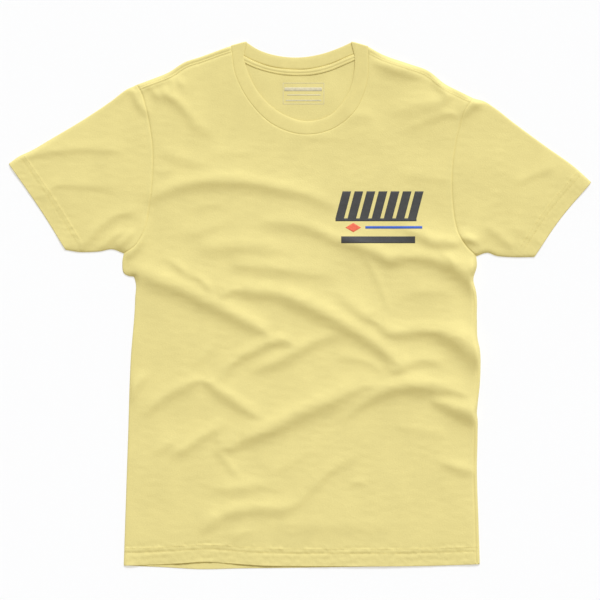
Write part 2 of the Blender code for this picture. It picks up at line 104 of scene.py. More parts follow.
# The folds of the front. Each one has the distance from its dark slope to its bright slope, and
# knots that run along the dark slope with the crest on their left: (x, y, width of the slope,
# steepness).
FOLDS = [
    # From the wearer's right side down to the middle.
    (14, [(-246, 44, 18, 0), (-230, 38, 20, .26), (-200, 25, 20, .34), (-180, 19, 19, .37),
          (-160, 11, 18, .37), (-140, 0, 18, .38), (-120, -9, 18, .39), (-100, -19, 17, .39),
          (-80, -29, 16, .38), (-60, -38, 14, .36), (-50, -43, 11, .34), (-40, -48, 8, 0)]),
    (9, [(-200, 67, 8, 0), (-186, 60, 8, .15), (-170, 48, 9, .3), (-160, 41, 9, .18),
         (-152, 38, 9, .16), (-142, 33, 9, .28), (-133, 23, 9, .3), (-121, 9, 8, 0)]),
    (13, [(-110, -114, 10, 0), (-97, -92, 12, .26), (-85, -79, 12, .36), (-73, -73, 12, .36),
          (-61, -68, 12, .36), (-47, -60, 13, .4), (-35, -55, 13, .44), (-23, -55, 12, .4),
          (-13, -57, 8, .25), (-3, -59, 6, 0)]),
    # Across the belly to the wearer's left.
    (17, [(-116, 8, 9, 0), (-107, 10, 11, .24), (-97, 15, 13, .34), (-85, 16, 15, .36),
          (-73, 13, 16, .36), (-59, 11, 17, .36), (-33, 10, 18, .38), (-13, 1, 18, .4),
          (0, -5, 19, .42), (12, -10, 19, .42), (36, -22, 19, .42), (64, -38, 18, .42),
          (91, -53, 17, .42), (113, -69, 15, .4), (123, -76, 13, .38), (134, -83, 11, .3),
          (147, -89, 8, 0)]),
    (18, [(-150, 77, 14, 0), (-132, 74, 16, .16), (-100, 75, 17, .22), (-70, 76, 17, .22),
          (-37, 72, 16, .16), (-5, 68, 14, 0)]),
    (16, [(-104, 54, 12, 0), (-86, 51, 13, .2), (-69, 49, 14, .26), (-37, 45, 15, .26),
          (-5, 41, 14, .22), (26, 38, 13, .16), (60, 36, 12, 0)]),
    (13, [(-178, 96, 10, 0), (-148, 97, 11, .14), (-120, 106, 11, .14), (-92, 115, 10, 0)]),
    (14, [(-72, -100, 11, 0), (-53, -93, 13, .22), (-37, -88, 14, .3), (-13, -77, 14, .34),
          (0, -69, 14, .34), (12, -62, 14, .32), (22, -57, 13, .3), (34, -52, 12, .26),
          (46, -49, 12, .2), (64, -48, 10, 0)]),
    (9, [(-146, -92, 9, 0), (-136, -80, 9, .16), (-127, -68, 9, .18), (-116, -52, 9, 0)]),
    # The roof-shaped pair at the wearer's right and the fold that climbs out of it.
    (13, [(-216, -160, 11, 0), (-209, -151, 11, .22), (-199, -143, 12, .28), (-189, -135, 13, .28),
          (-176, -128, 14, .3), (-160, -121, 14, .3), (-146, -113, 12, .3), (-138, -110, 11, .3),
          (-132, -115, 12, .32), (-121, -124, 13, .34), (-111, -131, 14, .34), (-99, -138, 14, .34),
          (-87, -146, 13, .32), (-75, -153, 12, .3), (-62, -159, 10, .22), (-46, -163, 8, 0)]),
    (9, [(-244, -147, 8, 0), (-236, -134, 8, .3), (-227, -117, 10, .34), (-219, -107, 10, .26),
         (-210, -96, 9, 0)]),
    (20, [(-122, -203, 10, 0), (-112, -205, 12, .25), (-94, -204, 13, .36), (-84, -198, 14, .38),
          (-73, -194, 15, .4), (-59, -189, 16, .42), (-33, -179, 18, .44), (-4, -164, 20, .42),
          (20, -153, 19, .4), (40, -145, 18, .4), (57, -137, 17, .38), (71, -129, 16, .36),
          (85, -122, 14, .32), (99, -118, 11, .26), (118, -114, 8, 0)]),
    (16, [(58, -172, 9, 0), (68, -162, 10, .12), (82, -149, 12, .24), (97, -139, 14, .34),
          (113, -131, 16, .38), (127, -125, 18, .42), (141, -121, 19, .44), (158, -121, 19, .44),
          (174, -122, 18, .42), (190, -123, 17, .4), (204, -124, 15, .38), (218, -126, 13, .34),
          (230, -130, 10, .25), (240, -134, 9, 0)]),
    # Above the wearer's left side.
    (16, [(40, 18, 12, 0), (52, 9, 14, .12), (71, -6, 14, .22), (89, -20, 14, .3), (101, -25, 11, .3),
          (110, -31, 11, .32), (119, -40, 13, .36), (129, -44, 14, .38), (153, -44, 14, .38),
          (168, -42, 14, .38), (182, -42, 16, .4), (194, -45, 19, .42), (206, -50, 22, .46),
          (218, -57, 25, .48), (228, -64, 27, .48), (238, -74, 28, .48), (249, -88, 28, .46)]),
    (14, [(120, -98, 9, 0), (130, -97, 11, .3), (140, -95, 13, .38), (150, -90, 13, .36),
          (162, -84, 13, .3), (176, -82, 13, .28), (190, -84, 12, .22), (206, -87, 10, 0)]),
    (11, [(48, -76, 8, 0), (62, -78, 10, .14), (87, -82, 11, .18), (101, -89, 11, .18),
          (112, -95, 9, .12), (122, -99, 8, 0)]),
    (14, [(180, -132, 8, 0), (188, -139, 10, .3), (198, -144, 13, .4), (208, -149, 16, .44),
          (218, -154, 18, .46), (228, -158, 20, .46), (238, -162, 21, .46), (250, -168, 21, .46)]),
    (8, [(84, 70, 8, 0), (92, 60, 8, .14), (108, 29, 8, .15), (117, 7, 8, .14), (124, -20, 7, 0)]),
    (13, [(140, 2, 10, 0), (160, 12, 13, .12), (178, 14, 14, .14), (200, 13, 13, .12),
          (222, 8, 12, 0)]),
    # Arcs over the chest.
    (15, [(-214, 141, 10, 0), (-205, 147, 12, .24), (-195, 152, 13, .26), (-177, 159, 14, .28),
          (-163, 163, 14, .3), (-147, 166, 15, .32), (-115, 168, 16, .34), (-83, 167, 16, .34),
          (-66, 165, 15, .32), (-46, 161, 15, .32), (-26, 157, 14, .32), (0, 153, 13, .28),
          (26, 143, 12, .24), (44, 135, 11, .16), (60, 128, 10, 0)]),
    (14, [(-62, 112, 10, 0), (-46, 110, 14, .18), (-26, 108, 16, .22), (0, 106, 16, .26),
          (12, 103, 15, .28), (26, 97, 14, .3), (46, 88, 14, .3), (70, 81, 14, .34), (97, 71, 15, .36),
          (109, 65, 16, .38), (119, 60, 16, .4), (129, 58, 16, .4), (139, 60, 16, .4),
          (153, 62, 15, .38), (182, 59, 16, .4), (194, 56, 18, .42), (204, 51, 20, .44),
          (214, 46, 21, .46), (224, 40, 22, .46), (232, 34, 22, .46), (240, 26, 22, .44),
          (249, 16, 22, .4)]),
    (7, [(196, 67, 6, 0), (204, 66, 6, .2), (209, 63, 7, .32), (212, 58, 7, .3), (211, 52, 6, 0)]),
    (12, [(140, 103, 9, 0), (152, 99, 11, .2), (166, 94, 13, .34), (178, 87, 14, .4),
          (190, 83, 14, .42), (204, 83, 13, .4), (218, 82, 12, .34), (231, 81, 10, 0)]),
    (14, [(135, 180, 10, 0), (148, 179, 10, .1), (205, 172, 10, .1), (214, 171, 10, 0)]),
    (14, [(-206, 212, 12, 0), (-188, 207, 14, .14), (-160, 198, 14, .14), (-140, 194, 14, .1),
          (-120, 192, 12, 0)]),
    (8, [(-206, 185, 6, 0), (-200, 184, 8, .14), (-186, 186, 8, .12), (-176, 188, 7, 0)]),
    (8, [(-160, 130, 7, 0), (-145, 134, 8, .1), (-115, 138, 8, .1), (-100, 138, 7, 0)]),
    (12, [(-135, 208, 10, 0), (-120, 209, 10, .08), (-78, 210, 10, .08), (-60, 210, 10, 0)]),
    (12, [(-10, 233, 8, 0), (7, 233, 8, .1), (56, 230, 8, .1), (70, 228, 8, 0)]),
    # Below the belly.
    (12, [(-182, -218, 9, 0), (-172, -213, 11, .22), (-160, -208, 12, .28), (-149, -200, 12, .3),
          (-137, -191, 12, .3), (-125, -183, 12, .26), (-114, -175, 10, .2), (-98, -170, 9, 0)]),
    (11, [(-206, -216, 9, 0), (-196, -209, 11, .16), (-182, -200, 11, .18), (-168, -191, 9, 0)]),
    (9, [(-126, -203, 8, 0), (-118, -211, 9, .16), (-108, -222, 9, .2), (-98, -234, 9, .18),
         (-84, -252, 8, 0)]),
    (14, [(-45, -246, 10, 0), (-35, -240, 10, .1), (0, -219, 10, .1), (56, -176, 10, 0)]),
    (15, [(-142, -325, 10, 0), (-132, -318, 12, .2), (-120, -311, 14, .26), (-108, -302, 15, .3),
          (-90, -297, 15, .3), (-72, -293, 14, .28), (-45, -293, 14, .26), (-21, -292, 13, .26),
          (-7, -286, 12, .24), (4, -278, 11, .22), (14, -267, 11, .22), (24, -258, 11, .24),
          (35, -245, 11, .26), (47, -236, 11, .24), (62, -226, 11, .18), (92, -210, 9, 0)]),
    (14, [(-136, -264, 10, 0), (-118, -263, 11, .12), (-98, -265, 14, .2), (-82, -264, 15, .22),
          (-62, -260, 14, .18), (-44, -259, 12, .12), (-18, -262, 10, 0)]),
    (8, [(70, -258, 6, 0), (77, -254, 8, .2), (84, -253, 8, .2), (94, -256, 7, 0)]),
    (10, [(-100, -338, 9, 0), (-88, -330, 11, .16), (-76, -324, 11, .16), (-60, -323, 10, 0)]),
    (16, [(-60, -316, 14, 0), (0, -319, 16, .08), (100, -319, 16, .08), (160, -316, 14, 0)]),
    (10, [(190, -222, 8, 0), (203, -227, 10, .2), (216, -233, 12, .28), (230, -237, 12, .28),
          (246, -240, 10, .16), (252, -243, 8, 0)]),
    (10, [(133, -174, 9, 0), (141, -176, 9, .1), (197, -185, 9, .1), (205, -187, 8, 0)]),
    # Puckers below the shoulders.
    (5, [(-228, 299, 5, 0), (-219, 303, 6, .4), (-208, 307, 6, .5), (-196, 312, 6, .5), (-186, 318, 5, .3),
         (-178, 324, 4, 0)]),
    (9, [(-201, 309, 8, 0), (-192, 294, 10, .34), (-181, 286, 11, .36), (-171, 278, 11, .3),
         (-163, 269, 11, .24), (-155, 257, 12, .18), (-147, 247, 13, .14), (-135, 241, 13, .12),
         (-120, 236, 12, 0)]),
    (8, [(-243, 307, 7, 0), (-238, 298, 8, .32), (-232, 285, 9, .36), (-226, 275, 9, .36),
         (-219, 268, 9, .2), (-214, 260, 8, 0)]),
    (7, [(-214, 308, 6, 0), (-209, 299, 8, .36), (-204, 291, 9, .3), (-198, 283, 8, 0)]),
    (6, [(-187, 320, 6, 0), (-183, 312, 8, .32), (-184, 305, 8, .22), (-188, 297, 7, 0)]),
    (6, [(-176, 320, 6, 0), (-173, 313, 8, .28), (-168, 307, 8, .2), (-162, 300, 7, 0)]),
    (12, [(98, 340, 9, 0), (108, 335, 12, .24), (121, 330, 14, .34), (141, 324, 14, .36),
          (155, 321, 13, .32), (168, 318, 10, .2), (180, 314, 8, 0)]),
    (8, [(182, 324, 7, 0), (187, 315, 8, .3), (193, 307, 9, .36), (201, 296, 9, .34),
         (207, 288, 8, 0)]),
    (14, [(120, 262, 14, 0), (140, 268, 16, .1), (165, 272, 18, .16), (185, 275, 18, .2),
          (200, 279, 16, .26), (212, 289, 12, .3), (220, 296, 9, 0)]),
    (10, [(140, 238, 9, 0), (158, 246, 11, .1), (180, 256, 11, .14), (198, 262, 11, .2),
          (212, 266, 9, .36), (222, 262, 7, 0)]),
    (8, [(230, 254, 7, 0), (236, 267, 10, .34), (243, 276, 13, .5), (251, 280, 13, .5),
         (259, 284, 9, .2), (266, 287, 7, 0)]),
    (9, [(68, 254, 8, 0), (78, 261, 11, .16), (92, 262, 11, .14), (102, 258, 8, 0)]),
    # The wearer's right sleeve.
    (12, [(-408, 204, 8, 0), (-402, 204, 9, .18), (-367, 210, 9, .24), (-338, 213, 9, .25),
          (-310, 216, 9, .22), (-265, 214, 9, .18), (-240, 212, 8, 0)]),
    (12, [(-368, 142, 7, 0), (-360, 148, 7, .16), (-345, 164, 8, .2), (-310, 164, 8, .2),
          (-268, 162, 8, .14), (-252, 161, 8, 0)]),
    (12, [(-308, 74, 8, 0), (-302, 82, 9, .24), (-286, 99, 10, .3), (-275, 110, 10, .3),
          (-261, 121, 10, .28), (-237, 127, 9, .2), (-226, 129, 8, 0)]),
    (8, [(-280, 74, 7, 0), (-275, 80, 7, .25), (-254, 97, 8, .28), (-242, 104, 7, 0)]),
    (8, [(-256, 75, 6, 0), (-250, 81, 8, .36), (-243, 89, 9, .42), (-236, 98, 8, .3),
         (-230, 107, 7, 0)]),
    (8, [(-247, 62, 6, 0), (-239, 67, 8, .36), (-230, 75, 9, .42), (-222, 86, 9, .38),
         (-217, 100, 8, .32), (-214, 118, 7, .2), (-213, 132, 6, 0)]),
    # The wearer's left sleeve and underarm.
    (9, [(222, 100, 6, 0), (229, 93, 9, .5), (237, 88, 11, .6), (246, 85, 9, .4), (254, 83, 7, 0)]),
    (8, [(240, 68, 6, 0), (238, 58, 8, .45), (240, 46, 8, .45), (245, 35, 6, 0)]),
    (12, [(302, 165, 9, 0), (310, 169, 9, .18), (338, 183, 9, .2), (355, 189, 9, .16),
          (364, 193, 8, 0)]),
    (10, [(256, 110, 8, 0), (265, 103, 11, .18), (286, 87, 11, .22), (293, 80, 9, .2),
          (300, 73, 7, 0)]),
    (10, [(293, 107, 8, 0), (303, 103, 8, .12), (338, 85, 8, .12), (346, 81, 7, 0)]),
]

# How a fold rises and falls.
STEEPEST = 0.607  # the steepest slope of a bell curve of height 1 and width 1
DARK_SHARE = 0.57  # width of the bell curve on the dark side, as a share of the slope's
LEAST_LIGHT = 0.8  # the least width of the one on the bright side, as a share of the dark one's
QUICK = 0.5  # the share of a fold's height that it loses at its bright slope
SLOW = 3.0  # how many times as far the rest of the fall reaches
REACH = 3.5  # how many widths away a bell curve still counts
SAMPLE = 4.0  # spacing of the samples along a fold

# How the layers lie, as heights over the floor.
FLOOR_GAP = 0.15
BACK_TOP = 0.95  # top of the back panel
EDGE = 1.4  # top of the front at a closed edge
ROLL, ROLL_RISE = 3.0, 0.85  # width and height of the tight roll at a closed edge
SWELL, LOFT = 26.0, 1.5  # width and height of the slower rise behind it
CLOTH = 0.75  # thickness of one layer of jersey
RIM = 1.5  # width over which the underside of the front comes down to the floor
BACK_RISE = 0.25  # how much higher the back lies away from its edges

# How far from a closed edge the folds, the waves, the seams and a hem's slack set in.
FOLDS_CLEAR, WAVES_CLEAR, SEAMS_CLEAR, SLACK_CLEAR = 3.0, 12.0, 3.0, 40.0

# Waves of the cloth: seed of the draw, shortest and longest wave, and steepness in all.
BROAD_WAVES, FINE_WAVES, BACK_WAVES = (4, 60, 150, 0.02), (9, 7, 16, 0.022), (31, 35, 90, 0.03)


def smooth(knots, step=STEP):
    """Points about one step apart on a smooth curve through the knots."""
    knots = np.array(knots, float)
    chain = np.vstack([2 * knots[0] - knots[1], knots, 2 * knots[-1] - knots[-2]])
    hops = np.diff(chain, axis=0)
    reach = np.linalg.norm(hops, axis=1)[:, None]
    before, after = reach[:-1], reach[1:]
    slopes = (hops[:-1] / before * after + hops[1:] / after * before) / (before + after)
    line = [knots[:1]]
    for i in range(len(knots) - 1):
        third = reach[i + 1] / 3
        start, end = knots[i] + slopes[i] * third, knots[i + 1] - slopes[i + 1] * third
        t = np.linspace(0, 1, max(2, round(reach[i + 1].item() / step) + 1))[1:, None]
        curve = (1 - t) ** 3 * knots[i] + 3 * (1 - t) ** 2 * t * start
        line.append(curve + 3 * (1 - t) * t**2 * end + t**3 * knots[i + 1])
    return np.vstack(line)


def arc(line):
    """The length along a line up to each of its points."""
    return np.concatenate([[0], np.cumsum(np.linalg.norm(np.diff(line, axis=0), axis=1))])


def at_lengths(line, lengths):
    reach = arc(line)
    return np.stack([np.interp(lengths, reach, column) for column in line.T], axis=1)


def spaced(line, step):
    """The line with even points, about one step apart."""
    long = arc(line)[-1]
    return at_lengths(line, np.linspace(0, long, max(2, round(long / step) + 1)))


def distance(points, line):
    """How far each point is from a line, and how far along the line its nearest place is."""
    reach = arc(line)
    a, side = line[:-1], np.diff(line, axis=0)
    square = (side**2).sum(axis=1)
    best, along = [], []
    for some in np.array_split(points, max(1, len(points) * len(a) // 2_000_000)):
        from_a = some[:, None] - a
        part = np.clip((from_a * side).sum(axis=2) / square, 0, 1)
        away = np.linalg.norm(from_a - part[..., None] * side, axis=2)
        nearest = away.argmin(axis=1)
        row = np.arange(len(some))
        best.append(away[row, nearest])
        along.append(reach[nearest] + part[row, nearest] * np.sqrt(square[nearest]))
    return np.concatenate(best), np.concatenate(along)


def fold(points, bright, knots):
    """Height of one fold: it rises steeply on the dark side and falls slowly on the other."""
    knots = np.array(knots, float)
    line = smooth(knots[:, :2], 1.0)
    at_knots = [np.linalg.norm(line - knot, axis=1).argmin() for knot in knots[:, :2]]
    reach = arc(line)
    wanted = np.arange(SAMPLE / 2, reach[-1], SAMPLE)
    middle = at_lengths(line, wanted)
    ahead = at_lengths(line, wanted + 1) - at_lengths(line, wanted - 1)
    ahead /= np.linalg.norm(ahead, axis=1)[:, None]
    left = np.stack([-ahead[:, 1], ahead[:, 0]], axis=1)
    width = np.interp(wanted, reach[at_knots], knots[:, 2])
    steep = np.interp(wanted, reach[at_knots], knots[:, 3])
    total, weight = np.zeros(len(points)), np.zeros(len(points))
    for centre, way, side, wide, slope in zip(middle, ahead, left, width, steep):
        dark = DARK_SHARE * wide
        light = max(bright - dark, LEAST_LIGHT * dark)
        away = points - centre
        near = np.flatnonzero((away**2).sum(axis=1) < (REACH * max(dark, SLOW * light)) ** 2)
        s, t = away[near] @ side - dark, away[near] @ way
        blur = SAMPLE + 0.15 * wide + 0.4 * np.abs(s)
        share = SAMPLE / (blur * math.sqrt(math.pi)) * np.exp(-((t / blur) ** 2))
        quick = np.exp(-((s / np.where(s < 0, dark, light)) ** 2) / 2)
        slow = np.exp(-((s / np.where(s < 0, dark, SLOW * light)) ** 2) / 2)
        total[near] += share * slope * dark / STEEPEST * (QUICK * quick + (1 - QUICK) * slow)
        weight[near] += share
    return total / np.maximum(weight, 1)


def folds(points):
    return sum(fold(points, *one) for one in FOLDS)


def join(*lines):
    """One line from several that follow each other, with the shared points kept once."""
    return np.vstack([lines[0], *(line[1:] for line in lines[1:])])


def shifted(line, offset):
    """The line moved sideways, to the left of the way it runs."""
    way = np.gradient(line, axis=0)
    way /= np.linalg.norm(way, axis=1)[:, None]
    return line + offset * np.stack([-way[:, 1], way[:, 0]], axis=1)


right_shoulder, left_shoulder = smooth(RIGHT_SHOULDER), smooth(LEFT_SHOULDER)
right_side, left_side = smooth(RIGHT_SIDE), smooth(LEFT_SIDE)
right_armhole, left_armhole = smooth(RIGHT_ARMHOLE), smooth(LEFT_ARMHOLE)
right_top, left_top = smooth(RIGHT_SLEEVE_TOP), smooth(LEFT_SLEEVE_TOP)
right_under, left_under = smooth(RIGHT_SLEEVE_UNDER), smooth(LEFT_SLEEVE_UNDER)
right_cuff, left_cuff = smooth(RIGHT_CUFF), smooth(LEFT_CUFF)
front_hem, back_hem = smooth(FRONT_HEM), smooth(BACK_HEM)
front_neck, back_neck = smooth(FRONT_NECK), smooth(BACK_NECK)

CLOSED_EDGES = [
    right_shoulder, right_side, left_shoulder, left_side, right_top, left_top, right_under, left_under,
]

# How far the two needle rows lie from a hem's edge and from the fold of a shoulder.
HEM_ROWS, SHOULDER_ROWS = (18.0, 24.0), (5.0, 8.0)
SIDE_SEAM_INSET = 4.5  # from the fold at the wearer's left to the seam that shows
HEM_DEPTH = 25.5  # how far the turned-up cloth reaches
HEM_RISE = 0.4  # what the turned-up cloth adds
PUCKER = 0.2  # height of the puckers that the stitching draws up
PUCKER_LENGTHS = (6.5, 8.3, 11.0, 14.5)
CRUMPLE = (5, 11, 0.11)  # shortest and longest wave of a hem's small creases, and steepness
HEM_SLACK, SLACK_REACH = 1.5, 25.0  # how much closer a hem lies to the layer below, and how far in
HEM_NEAR = 60.0  # a hem changes nothing further in than this

# Depth and width of the grooves that the seams and the needle rows make.
INNER_ROW_GROOVE, OUTER_ROW_GROOVE = (0.45, 1.6), (0.2, 1.3)
ARMHOLE_GROOVE, NECK_GROOVE, SIDE_GROOVE = (0.85, 1.2), (0.35, 0.9), (0.7, 1.1)
RIGHT_SHOULDER_GROOVE, LEFT_SHOULDER_GROOVE = (0.85, 0.9), (0.5, 0.9)
NECK_POINT_RISE, NECK_POINT_REACH = 1.6, 16.0  # the collar lifts the shoulders here

HEMS = ((front_hem, 1.0), (right_cuff, 0.5), (left_cuff, 0.6))  # each with how marked its relief is
side_seam = shifted(left_side[left_side[:, 1] < 25], -SIDE_SEAM_INSET)


def groove(away, depth, width):
    return -depth * np.exp(-((away / width) ** 2))


def eased(value, start, end):
    """0 below the start, 1 above the end and smooth between."""
    part = np.clip((value - start) / (end - start), 0, 1)
    return part * part * (3 - 2 * part)


def ripple(points, seed, shortest, longest, steepness, turned=math.pi, count=16):
    """Gentle waves that climb within the given turn of +Y, with the given steepness in all."""
    draw = np.random.default_rng(seed)
    height = np.zeros(len(points))
    for _ in range(count):
        long = shortest * (longest / shortest) ** draw.random()
        turn, phase = draw.uniform(-turned, turned), draw.uniform(0, 2 * math.pi)
        way = np.array([math.sin(turn), math.cos(turn)]) * 2 * math.pi / long
        tall = steepness / math.sqrt(count / 2) * long / (2 * math.pi)
        height += tall * np.sin(points @ way + phase)
    return height


def hem_band(away):
    """What the turned-up cloth of a hem adds at this distance from its edge."""
    return HEM_RISE * (1 - eased(away, HEM_DEPTH - 1.2, HEM_DEPTH + 0.6))


def nearest_closed(points):
    return np.min([distance(points, edge)[0] for edge in CLOSED_EDGES], axis=0)


def hem_relief(points, edge, deep, seed):
    """What a double-stitched hem adds: a thicker band, two stitched grooves and puckers. deep is
    how marked all but the band is, up to 1."""
    away, along = distance(points, edge)
    inner, outer = HEM_ROWS
    grooves = groove(away - inner, *INNER_ROW_GROOVE) + groove(away - outer, *OUTER_ROW_GROOVE)
    draw = np.random.default_rng(seed)
    wave = np.zeros(len(points))
    for long in PUCKER_LENGTHS:
        lean, phase = draw.uniform(-0.5, 0.5), draw.uniform(0, 2 * math.pi)
        wave += np.sin(2 * math.pi * (along + lean * away) / long + phase) / 2
    middle = (inner + outer) / 2
    puckers = wave * (np.exp(-(((away - middle) / 7) ** 2)) + 0.35 * np.exp(-((away / 6) ** 2)))
    crumple = ripple(points, seed + 40, *CRUMPLE) * (1 - eased(away, HEM_DEPTH, HEM_DEPTH + 8))
    return hem_band(away) + deep * (grooves + PUCKER * puckers + crumple)


def lift(points):
    """Height of the top of the front and of the sleeves' upper layers."""
    near = nearest_closed(points)
    roll = np.sqrt(1 - (1 - np.minimum(near / ROLL, 1)) ** 2)
    height = EDGE + ROLL_RISE * roll + LOFT * (1 - np.exp(-near / SWELL))
    height += folds(points) * (1 - np.exp(-((near / FOLDS_CLEAR) ** 2)))
    waves = ripple(points, *BROAD_WAVES) + ripple(points, *FINE_WAVES, turned=0.5, count=40)
    height += waves * eased(near, 0, WAVES_CLEAR)
    at_seams = eased(near, 0, SEAMS_CLEAR)
    for seed, (edge, deep) in enumerate(HEMS):
        away = distance(points, edge)[0]
        close = np.flatnonzero(away < HEM_NEAR)
        if len(close):
            slack = HEM_SLACK * np.exp(-((away[close] / SLACK_REACH) ** 2))
            height[close] += hem_relief(points[close], edge, deep, 20 + seed) * at_seams[close]
            height[close] -= slack * eased(near[close], 0, SLACK_CLEAR)
    for armhole in (right_armhole, left_armhole):
        height += groove(distance(points, armhole)[0], *ARMHOLE_GROOVE) * at_seams
    height += groove(distance(points, front_neck)[0], *NECK_GROOVE)
    height += groove(distance(points, side_seam)[0], *SIDE_GROOVE)
    sides = ((right_shoulder, RIGHT_SHOULDER_GROOVE), (left_shoulder, LEFT_SHOULDER_GROOVE))
    for shoulder, shape in sides:
        to_neck_point = np.linalg.norm(points - shoulder[0], axis=1)
        height += NECK_POINT_RISE * np.exp(-((to_neck_point / NECK_POINT_REACH) ** 2))
        away = distance(points, shoulder)[0]
        for row in SHOULDER_ROWS:
            height += groove(away - row, *shape)
    return height


def inside(points, ring):
    """Which of the points lie inside a closed ring."""
    x, y = points.T
    found = np.zeros(len(points), bool)
    for (ax, ay), (bx, by) in zip(ring, np.roll(ring, -1, axis=0)):
        if ay != by:
            found ^= ((ay > y) != (by > y)) & (x < ax + (y - ay) / (by - ay) * (bx - ax))
    return found


def thinned(points, others, clear):
    """The points that are further than this from all the others."""
    tree = kdtree.KDTree(len(others))
    for index, (x, y) in enumerate(others):
        tree.insert((x, y, 0), index)
    tree.balance()
    return points[[tree.find((x, y, 0))[2] > clear for x, y in points]]


ROW_CELL = 0.45  # of the points in the rows along the seams, one is kept in each cell of this size
RING_CLEAR = 0.35  # how far they keep from the outline


def flat_layer(ring, rows, spacing):
    """Points and triangles of a flat layer: its ring, rows along its seams, and an even grid."""
    low, high = ring.min(axis=0), ring.max(axis=0)
    grid_x = np.arange(low[0], high[0], spacing)
    grid_y = np.arange(low[1], high[1], spacing * math.sqrt(0.75))
    x, y = np.meshgrid(grid_x, grid_y)
    x = x + spacing / 2 * (np.arange(len(grid_y)) % 2)[:, None]
    grid = np.stack([x.ravel(), y.ravel()], axis=1)
    grid = grid[inside(grid, ring)]
    if len(rows):
        _, first = np.unique(np.round(rows / ROW_CELL).astype(int), axis=0, return_index=True)
        rows = rows[np.sort(first)]
        rows = thinned(rows[inside(rows, ring)], ring, RING_CLEAR)
        grid = thinned(grid, rows, 0.62 * spacing)
    grid = thinned(grid, ring, 0.5 * spacing)
    given = np.vstack([ring, rows, grid]) if len(rows) else np.vstack([ring, grid])
    edge = [list(range(len(ring)))]
    flat, _, triangles, *_ = geometry.delaunay_2d_cdt([Vector(p) for p in given], [], edge, 1, 1e-5)
    if len(flat) != len(given):
        raise ValueError("two points of a layer are in one place")
    return np.array([tuple(p) for p in flat]), np.array(triangles)


def turns_left(ring):
    x, y = ring.T
    return (x * np.roll(y, -1) - y * np.roll(x, -1)).sum() > 0


def ring_normals(ring):
    """Unit vectors that point out of a ring."""
    way = np.roll(ring, -1, axis=0) - np.roll(ring, 1, axis=0)
    way /= np.linalg.norm(way, axis=1)[:, None]
    normal = np.stack([way[:, 1], -way[:, 0]], axis=1)
    return normal if turns_left(ring) else -normal


def add_mesh(name, points, faces, look, slot, replaces):
    """A piece from points in millimetres."""
    mesh = bpy.data.meshes.new(name)
    mesh.from_pydata((np.asarray(points) * MM).tolist(), [], [tuple(face) for face in faces])
    mesh.shade_smooth()
    mesh.materials.append(look)
    piece = bpy.data.objects.new(name, mesh)
    bpy.context.scene.collection.objects.link(piece)
    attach(piece, "root")
    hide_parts(*replaces)
    return piece


NO_ROWS = np.empty((0, 2))
BULGE = 0.35  # how far a rim of cloth bulges, as a share of its thickness


def cloth_body(ring, rows, top, under, spacing, under_spacing):
    """Points and faces of a closed layer of cloth with a rounded rim."""
    upper, upper_faces = flat_layer(ring, rows, spacing)
    lower, lower_faces = flat_layer(ring, NO_ROWS, under_spacing)
    high = np.column_stack([upper, top(upper)])
    low = np.column_stack([lower, under(lower)])
    count = len(ring)
    thick = high[:count, 2] - low[:count, 2]
    bulge = ring + ring_normals(ring) * (BULGE * thick)[:, None]
    middle = np.column_stack([bulge, (high[:count, 2] + low[:count, 2]) / 2])
    points = np.vstack([high, middle, low])
    start_middle, start_low = len(high), len(high) + count
    ahead = (np.arange(count) + 1) % count
    here = np.arange(count)
    faces = [tuple(face) for face in upper_faces]
    faces += [tuple(reversed(face + start_low)) for face in lower_faces]
    for a, b in ((0, start_middle), (start_middle, start_low)):
        quads = np.stack([a + here, b + here, b + ahead, a + ahead], axis=1)
        faces += [tuple(quad) for quad in (quads if turns_left(ring) else quads[:, ::-1])]
    return points, faces


def wall(near, far, size):
    """Faces between two rings of points of the same size, from the index of each one's first."""
    ahead = [(k + 1) % size for k in range(size)]
    return [(near + k, near + next_k, far + next_k, far + k) for k, next_k in enumerate(ahead)]


def joined(bodies):
    """The points and faces of several bodies as those of one."""
    points, faces = [], []
    start = 0
    for some, some_faces in bodies:
        points.append(some)
        faces += [tuple(index + start for index in face) for face in some_faces]
        start += len(some)
    return np.vstack(points), faces


# --- Materials -------------------------------------------------------------------------------


